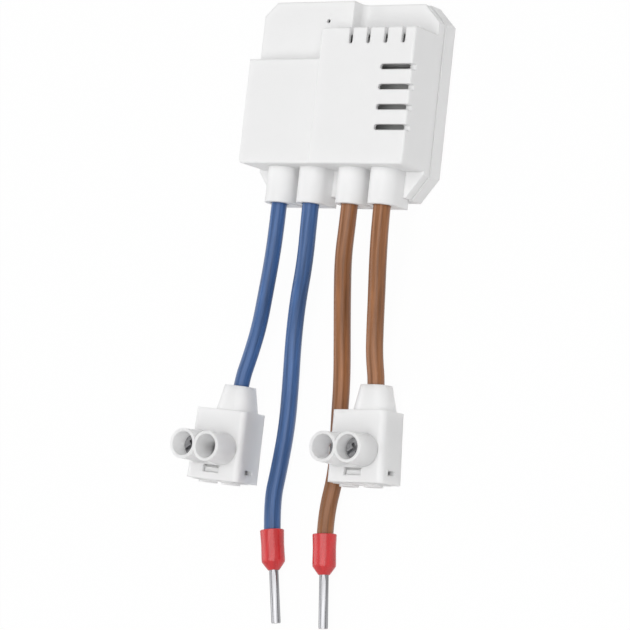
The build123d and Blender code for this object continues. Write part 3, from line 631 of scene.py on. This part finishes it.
@dataclass
class Ferrule:
    """Crimped ferrule in its collar; its mouth is where the lead goes in.

    Lengths are in millimetres, and those along it start at the mouth. The turn and the
    sharp angles are in degrees, the groove's spread and side in radians. The sleeve starts
    inside the collar, where it is narrower by sleeve_step.
    """

    side: str
    mouth: Point
    turn: float
    collar_length: float = 6.0
    collar_steps: int = 64
    collar_sharp: float = 35.0
    bore_radius: float = 1.375
    bore_depth: float = 4.6
    bore_edge: float = 0.06
    mouth_radius: float = 1.8
    mouth_edge: float = 0.08
    flare: float = 0.02
    flare_at: float = 0.5
    waist_radius: float = 1.72
    waist_at: float = 2.2
    shoulder_radius: float = 1.76
    shoulder_at: float = 4.75
    shoulder_run: float = 0.5
    shoulder_drop: float = 0.03
    cone_drop: float = 0.15
    cone_run: float = 0.2
    neck_radius: float = 0.82
    neck_edge: float = 0.1
    merge_reach: float = 0.0005
    pin_radius: float = 0.7
    pin_length: float = 7.86
    pin_steps: int = 48
    pin_sharp: float = 50.0
    hidden: float = 0.9
    sleeve_step: float = 0.2
    step_run: float = 0.04
    first_ring: float = 0.15
    ring_gap: float = 0.2
    rings: int = 37
    tip_rings: tuple[float, ...] = (0.26, 0.1, 0.0)
    tip_run: float = 0.25
    tip_taper: float = 0.07
    groove: float = 0.16
    groove_run: float = 0.9
    groove_spread: float = 0.34
    groove_side: float = 0.5

    def along(self) -> Matrix:
        """Makes the ferrule's own frame.

        Returns:
            Matrix whose Z looks along the ferrule, away from the lead.
        """
        ahead = Vector((sin(radians(self.turn)), -cos(radians(self.turn)), 0.0))
        turn = Matrix((UP.cross(ahead), UP, ahead)).transposed().to_4x4()
        return Matrix.Translation(Vector(self.mouth) * MM) @ turn

    def build(self) -> None:
        """Makes the collar and the pin in place of their nodes."""
        collar = place_mesh(self.collar_mesh(), "module", RED_COLLAR)
        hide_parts(f"{self.side}_lead_collar")
        pin = place_mesh(self.pin_mesh(), "module", FERRULE_TIN)
        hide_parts(f"{self.side}_lead_ferrule")
        LOG.info("ferrule on the %s lead", self.side)

    def collar_mesh(self) -> bpy.types.Mesh:
        """Spins the collar's profile about its axis.

        Returns:
            Closed collar mesh.
        """
        sleeve = self.pin_radius - self.sleeve_step
        profile = [
            (self.bore_radius, self.bore_depth),
            (self.bore_radius, self.bore_edge),
            (self.bore_radius + self.bore_edge, 0.0),
            (self.mouth_radius - self.mouth_edge, 0.0),
            (self.mouth_radius, self.mouth_edge),
            (self.mouth_radius - self.flare, self.flare_at),
            (self.waist_radius, self.waist_at),
            (self.shoulder_radius, self.shoulder_at - self.shoulder_run),
            (self.shoulder_radius - self.shoulder_drop, self.shoulder_at),
            (self.shoulder_radius - self.cone_drop, self.shoulder_at + self.cone_run),
            (self.neck_radius + self.neck_edge, self.collar_length - self.neck_edge),
            (self.neck_radius, self.collar_length),
            (sleeve, self.collar_length),
            (sleeve, self.bore_depth),
        ]
        shape = bmesh.new()
        points = [shape.verts.new((reach * MM, 0.0, along * MM)) for reach, along in profile]
        edges = [shape.edges.new(pair) for pair in zip(points, points[1:] + points[:1])]
        bmesh.ops.spin(
            shape, geom=points + edges, cent=(0.0, 0.0, 0.0), axis=UP, angle=2 * pi,
            steps=self.collar_steps, use_merge=True,
        )
        bmesh.ops.remove_doubles(shape, verts=shape.verts, dist=self.merge_reach * MM)
        bmesh.ops.recalc_face_normals(shape, faces=shape.faces)
        for face in shape.faces:
            face.smooth = True
        bmesh.ops.transform(shape, matrix=self.along(), verts=shape.verts)
        return mesh_of(shape, f"{self.side}_collar_moulding", self.collar_sharp)

    def pin_radius_at(self, angle: float, along: float) -> float:
        """Radius of the crimped sleeve: round by the collar, then grooved on two sides.

        Args:
            angle: where on the section, in radians.
            along: how far from the sleeve's hidden end, in metres.

        Returns:
            The radius in metres.
        """
        place = along / MM
        grooves = 0.0
        for middle in (pi / 2 - self.groove_side, 3 * pi / 2 - self.groove_side):
            off = (angle - middle + pi) % (2 * pi) - pi
            grooves += exp(-((off / self.groove_spread) ** 2))
        share = min(1.0, max(0.0, (place - self.hidden) / self.groove_run))
        tip = max(0.0, place - (self.hidden + self.pin_length - self.tip_run)) / self.tip_run
        narrow = place < self.hidden - self.step_run / 2
        radius = self.pin_radius - self.sleeve_step if narrow else self.pin_radius
        return radius * MM * (1.0 - self.groove * share * grooves - self.tip_taper * tip)

    def pin_mesh(self) -> bpy.types.Mesh:
        """Makes the sleeve from inside the collar to its tip.

        Returns:
            Closed pin mesh.
        """
        tip = self.hidden + self.pin_length
        places = [0.0, self.hidden - self.step_run, self.hidden]
        places += [
            self.hidden + self.first_ring + self.ring_gap * ring for ring in range(self.rings)
        ]
        places += [tip - left for left in self.tip_rings]
        ahead = self.along()
        start = self.collar_length - self.hidden
        path = [ahead @ Vector((0.0, 0.0, (start + place) * MM)) for place in places]
        tube = Tube(path, self.pin_radius_at, self.pin_steps, self.pin_sharp)
        return tube.build(f"{self.side}_crimped_pin")


@dataclass
class ClampScrew:
    """Slotted cheese-head clamp screw of a terminal.

    Lengths are in millimetres, and the place is the middle of the head's top. The turn and
    the sharp angle are in degrees. The land is the plain rim round the slots.
    """

    side: str
    hand: str
    place: Point
    turn: float = 35.0
    head_radius: float = 1.6
    head_height: float = 1.4
    head_steps: int = 64
    rim: float = 0.16
    rim_steps: int = 4
    land: float = 0.04
    shank_radius: float = 1.2
    shank_length: float = 2.4
    slot_width: float = 0.5
    slot_depth: float = 0.7
    cross_share: float = 0.55
    sharp_angle: float = 35.0

    def build(self) -> None:
        """Makes the screw in place of its node."""
        screw = place_mesh(self.screw_mesh(), f"{self.side}_{self.hand}_screw", SCREW_STEEL)
        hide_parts(f"{self.side}_terminal_{self.hand}_screw")
        LOG.info("clamp screw %s %s", self.side, self.hand)

    def screw_mesh(self) -> bpy.types.Mesh:
        """Makes the head with a soft rim, a slot and a short cross slot, and the shank.

        Returns:
            Closed screw mesh.
        """
        shape = bmesh.new()
        made = bmesh.ops.create_circle(
            shape, cap_ends=True, radius=self.head_radius * MM, segments=self.head_steps
        )
        bottom = made["verts"][0].link_faces[0]
        grown = bmesh.ops.extrude_face_region(shape, geom=[bottom], use_keep_orig=True)["geom"]
        top = next(item for item in grown if isinstance(item, bmesh.types.BMFace))
        bmesh.ops.translate(shape, verts=top.verts, vec=(0.0, 0.0, self.head_height * MM))
        bmesh.ops.bevel(
            shape, geom=list(top.edges), offset=self.rim * MM, segments=self.rim_steps,
            profile=0.5, affect="EDGES", material=-1,
        )
        self.cut_slots(shape, max(shape.faces, key=height_of))
        bmesh.ops.recalc_face_normals(shape, faces=shape.faces)
        self.grow_shank(shape)
        bmesh.ops.recalc_face_normals(shape, faces=shape.faces)
        for face in shape.faces:
            face.smooth = True
        spin = Matrix.Rotation(radians(self.turn), 4, "Z")
        down = Matrix.Translation((0.0, 0.0, -self.head_height * MM))
        place = Matrix.Translation(Vector(self.place) * MM)
        bmesh.ops.transform(shape, matrix=place @ spin @ down, verts=shape.verts)
        return mesh_of(shape, f"{self.side}_{self.hand}_clamp_screw", self.sharp_angle)

    def cut_slots(self, shape: bmesh.types.BMesh, top: bmesh.types.BMFace) -> None:
        """Cuts the head's top along the slots' sides and sinks what lies between.

        Args:
            shape: the screw so far.
            top: the flat face of the head.
        """
        bmesh.ops.inset_region(shape, faces=[top], thickness=self.land * MM)
        level = height_of(top)
        half = self.slot_width / 2 * MM
        reach = self.head_radius * self.cross_share * MM
        across = Vector((1.0, 0.0, 0.0))
        ahead = Vector((0.0, 1.0, 0.0))
        cuts = [(ahead, half), (ahead, -half), (across, half), (across, -half)]
        cuts += [(across, reach), (across, -reach), (ahead, reach), (ahead, -reach)]
        inner = [top]
        for normal, place in cuts:
            sides = [part for face in inner for part in (*face.verts, *face.edges)]
            cut = bmesh.ops.bisect_plane(
                shape, geom=list(dict.fromkeys([*inner, *sides])), dist=CUT_REACH,
                plane_co=normal * place, plane_no=normal,
            )
            inner = [item for item in cut["geom"] if isinstance(item, bmesh.types.BMFace)]
        sunk = [face for face in inner if self.in_slots(face.calc_center_median(), half, reach)]
        grown = bmesh.ops.extrude_face_region(shape, geom=sunk)["geom"]
        depth = (0.0, 0.0, -self.slot_depth * MM)
        bmesh.ops.translate(shape, verts=verts_of(grown), vec=depth)
        stale = [
            face for face in sunk if face.is_valid and abs(height_of(face) - level) < SAME_HEIGHT
        ]
        bmesh.ops.delete(shape, geom=stale, context="FACES_ONLY")

    @staticmethod
    def in_slots(middle: Vector, half: float, reach: float) -> bool:
        """Whether a face's middle lies in the long slot or in the short one."""
        return abs(middle.y) < half or (abs(middle.x) < half and abs(middle.y) < reach)

    def grow_shank(self, shape: bmesh.types.BMesh) -> None:
        """Insets the head's underside and draws the shank out of it.

        Args:
            shape: the head.
        """
        under = min(shape.faces, key=height_of)
        step = (self.head_radius - self.shank_radius) * MM
        bmesh.ops.inset_region(shape, faces=[under], thickness=step)
        grown = bmesh.ops.extrude_face_region(shape, geom=[under])["geom"]
        length = (0.0, 0.0, -self.shank_length * MM)
        bmesh.ops.translate(shape, verts=verts_of(grown), vec=length)
        if under.is_valid and abs(height_of(under)) < SAME_HEIGHT:
            bmesh.ops.delete(shape, geom=[under], context="FACES_ONLY")


def terminal_pieces(side: str) -> list[str]:
    """Names the pieces of a terminal, its feet and screws among them.

    Args:
        side: the colour of the terminal's lead.

    Returns:
        Names of five nodes and two new pieces.
    """
    parts = ("housing", "insert", "clamp", "left_foot", "right_foot")
    nodes = [f"{side}_terminal_{part}" for part in parts]
    return nodes + [f"{side}_{hand}_clamp_screw" for hand in ("left", "right")]


def ferrule_pieces(side: str) -> list[str]:
    """Names of the two pieces of a ferrule."""
    return [f"{side}_collar_moulding", f"{side}_crimped_pin"]


# The leads' control points, from the outlet to the far end
LEADS = [
    Lead(
        "blue_terminal_lead", BLUE_INSULATION,
        [
            (-8.95, -12.275, 6.6), (-8.95, -17.6, 6.6), (-9.5, -22.9, 6.0), (-10.75, -28.4, 4.9),
            (-12.15, -33.4, 3.6), (-13.6, -37.7, 2.9), (-14.91, -42.045, 2.8),
            (-15.05, -46.543, 2.8),
        ],
        35.36, terminal_pieces("blue"), slim=0.93,
    ),
    Lead(
        "blue_ferrule_lead", BLUE_INSULATION,
        [
            (-3.35, -12.275, 6.6), (-3.35, -17.6, 6.6), (-3.9, -23.6, 5.6), (-5.6, -29.4, 3.8),
            (-6.7, -35.4, 2.2), (-6.9, -41.6, 1.4), (-6.75, -48.0, 1.35), (-7.3, -54.2, 1.35),
            (-7.756, -60.06, 1.8), (-6.444, -67.14, 1.8),
        ],
        55.9, ferrule_pieces("blue"), seed=1.7,
    ),
    Lead(
        "brown_ferrule_lead", BROWN_INSULATION,
        [
            (3.55, -12.275, 6.6), (3.55, -17.6, 6.6), (2.8, -22.9, 5.7), (2.3, -28.6, 4.0),
            (1.95, -34.6, 2.3), (2.15, -40.8, 1.4), (2.4, -47.0, 1.35), (2.95, -54.0, 1.35),
            (1.999, -61.23, 1.8), (2.501, -65.77, 1.8),
        ],
        55.5, ferrule_pieces("brown"), seed=3.1,
    ),
    Lead(
        "brown_terminal_lead", BROWN_INSULATION,
        [
            (9.15, -12.275, 6.6), (9.15, -17.6, 6.6), (9.05, -23.0, 6.0), (8.75, -28.4, 4.8),
            (8.35, -33.2, 3.6), (8.3, -37.0, 2.95), (9.137, -41.111, 2.8), (9.323, -45.206, 2.8),
        ],
        33.35, terminal_pieces("brown"), seed=4.4,
    ),
]

FERRULES = [Ferrule("blue", (-7.1, -63.6, 1.8), 10.5), Ferrule("brown", (2.25, -63.5, 1.8), 6.3)]


def clamp_screws() -> list[ClampScrew]:
    """Places all four clamp screws by the boxes of their nodes.

    Returns:
        The screws, their heads' tops where the nodes have theirs.
    """
    screws = []
    for side, hand in product(("blue", "brown"), ("left", "right")):
        low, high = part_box(f"{side}_terminal_{hand}_screw")
        place = ((low[0] + high[0]) / 2 / MM, (low[1] + high[1]) / 2 / MM, high[2] / MM)
        screws.append(ClampScrew(side, hand, place))
    return screws


@dataclass(frozen=True)
class Lamp:
    """One square soft lamp, its place and size in millimetres and its power in watts."""

    name: str
    place: Point
    size: float
    power: float

    def build(self, aim: Point) -> None:
        """Makes the lamp.

        Args:
            aim: what it looks at, in millimetres.
        """
        data = bpy.data.lights.new(self.name, "AREA")
        data.shape = "SQUARE"
        data.size = self.size * MM
        data.energy = self.power
        lamp = bpy.data.objects.new(self.name, data)
        lamp.location = [part * MM for part in self.place]
        towards = (Vector(aim) - Vector(self.place)).normalized()
        lamp.rotation_euler = towards.to_track_quat("-Z", "Y").to_euler()
        bpy.context.scene.collection.objects.link(lamp)


@dataclass
class Studio:
    """Floor, lamps, world and camera.

    The camera's place and the lamps' aim are in millimetres, its turn in degrees. The
    floor's size and the camera's clipping distances are in metres, and floor_drop is how
    many millimetres the floor lies below the module.
    """

    camera_place: Point = (242.312, -74.582, 370.86)
    camera_turn: Point = (9.6545, 32.8534, 7.3821)
    lens: float = 170.92
    lens_shift: float = -0.0011
    sensor: float = 36.0
    clipping: tuple[float, float] = (0.01, 50.0)
    floor_size: float = 6.0
    floor_drop: float = 0.02
    floor_tone: float = 0.9
    glow_share: float = 0.96
    ambient: float = 0.43
    aim: Point = (0.0, -30.0, 5.0)
    lamps: tuple[Lamp, ...] = (
        Lamp("key_lamp", (205.0, -75.0, 640.0), 700.0, 3.6),
        Lamp("fill_lamp", (-560.0, -60.0, 300.0), 500.0, 1.1),
    )

    def build(self) -> None:
        """Makes the whole studio."""
        self.make_camera()
        self.make_floor()
        self.make_world()
        for lamp in self.lamps:
            lamp.build(self.aim)
        bpy.context.scene.view_settings.view_transform = "Standard"
        LOG.info("studio with %d lamps", len(self.lamps))

    def make_camera(self) -> None:
        """Makes the camera of the photo, far away and with a long lens."""
        data = bpy.data.cameras.new("photo_camera")
        data.lens = self.lens
        data.sensor_width = self.sensor
        data.shift_y = self.lens_shift
        data.sensor_fit = "HORIZONTAL"
        data.clip_start, data.clip_end = self.clipping
        camera = bpy.data.objects.new("photo_camera", data)
        camera.location = [part * MM for part in self.camera_place]
        camera.rotation_euler = [radians(part) for part in self.camera_turn]
        bpy.context.scene.collection.objects.link(camera)
        bpy.context.scene.camera = camera

    def make_floor(self) -> None:
        """Makes a large pale floor just under the module."""
        shape = bmesh.new()
        bmesh.ops.create_grid(shape, x_segments=1, y_segments=1, size=self.floor_size / 2)
        bmesh.ops.translate(shape, verts=shape.verts, vec=(0.0, 0.0, -self.floor_drop * MM))
        mesh = mesh_of(shape, "floor")
        floor = bpy.data.objects.new("floor", mesh)
        bpy.context.scene.collection.objects.link(floor)
        mesh.materials.append(self.floor_material())

    def floor_material(self) -> bpy.types.Material:
        """Makes the floor white to the camera and pale to the light, with soft shadows.

        Returns:
            The floor's material.
        """
        material = bpy.data.materials.new("pale_floor")
        material.use_nodes = True
        tree = material.node_tree
        tree.nodes.clear()
        out = tree.nodes.new("ShaderNodeOutputMaterial")
        mix = tree.nodes.new("ShaderNodeMixShader")
        diffuse = tree.nodes.new("ShaderNodeBsdfDiffuse")
        glow = tree.nodes.new("ShaderNodeEmission")
        share = tree.nodes.new("ShaderNodeMath")
        share.operation = "MULTIPLY"
        share.inputs[1].default_value = self.glow_share
        diffuse.inputs["Color"].default_value = (*[self.floor_tone] * 3, 1.0)
        glow.inputs["Color"].default_value = (1.0, 1.0, 1.0, 1.0)
        glow.inputs["Strength"].default_value = 1.0
        tree.links.new(self.seen_rays(tree), share.inputs[0])
        tree.links.new(share.outputs["Value"], mix.inputs["Fac"])
        tree.links.new(diffuse.outputs["BSDF"], mix.inputs[1])
        tree.links.new(glow.outputs["Emission"], mix.inputs[2])
        tree.links.new(mix.outputs["Shader"], out.inputs["Surface"])
        return material

    @staticmethod
    def seen_rays(tree: bpy.types.NodeTree) -> Socket:
        """Finds rays from the camera, off gloss and through clear pieces.

        Args:
            tree: node tree that asks.

        Returns:
            Socket that is 1 for such a ray and otherwise 0.
        """
        path = tree.nodes.new("ShaderNodeLightPath")
        total = path.outputs["Is Camera Ray"]
        for kind in ("Is Glossy Ray", "Is Transmission Ray"):
            joined = tree.nodes.new("ShaderNodeMath")
            joined.operation = "MAXIMUM"
            tree.links.new(total, joined.inputs[0])
            tree.links.new(path.outputs[kind], joined.inputs[1])
            total = joined.outputs["Value"]
        return total

    def make_world(self) -> None:
        """Makes even ambient light, white where the camera or a gloss sees it."""
        world = bpy.data.worlds.new("studio_world")
        bpy.context.scene.world = world
        world.use_nodes = True
        tree = world.node_tree
        tree.nodes.clear()
        out = tree.nodes.new("ShaderNodeOutputWorld")
        mix = tree.nodes.new("ShaderNodeMixShader")
        plain = tree.nodes.new("ShaderNodeBackground")
        seen = tree.nodes.new("ShaderNodeBackground")
        plain.inputs["Strength"].default_value = self.ambient
        seen.inputs["Strength"].default_value = 1.0
        tree.links.new(self.seen_rays(tree), mix.inputs["Fac"])
        tree.links.new(plain.outputs["Background"], mix.inputs[1])
        tree.links.new(seen.outputs["Background"], mix.inputs[2])
        tree.links.new(mix.outputs["Shader"], out.inputs["Surface"])


def main() -> None:
    """Builds the studio, dresses the frame and makes every piece in order."""
    logging.basicConfig(level=logging.INFO, format="%(name)s: %(message)s")
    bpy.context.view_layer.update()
    Studio().build()
    dress_frame()
    for ferrule in FERRULES:
        ferrule.build()
    for screw in clamp_screws():
        screw.build()
    for lead in LEADS:
        lead.build()


if __name__ == "__main__":
    main()
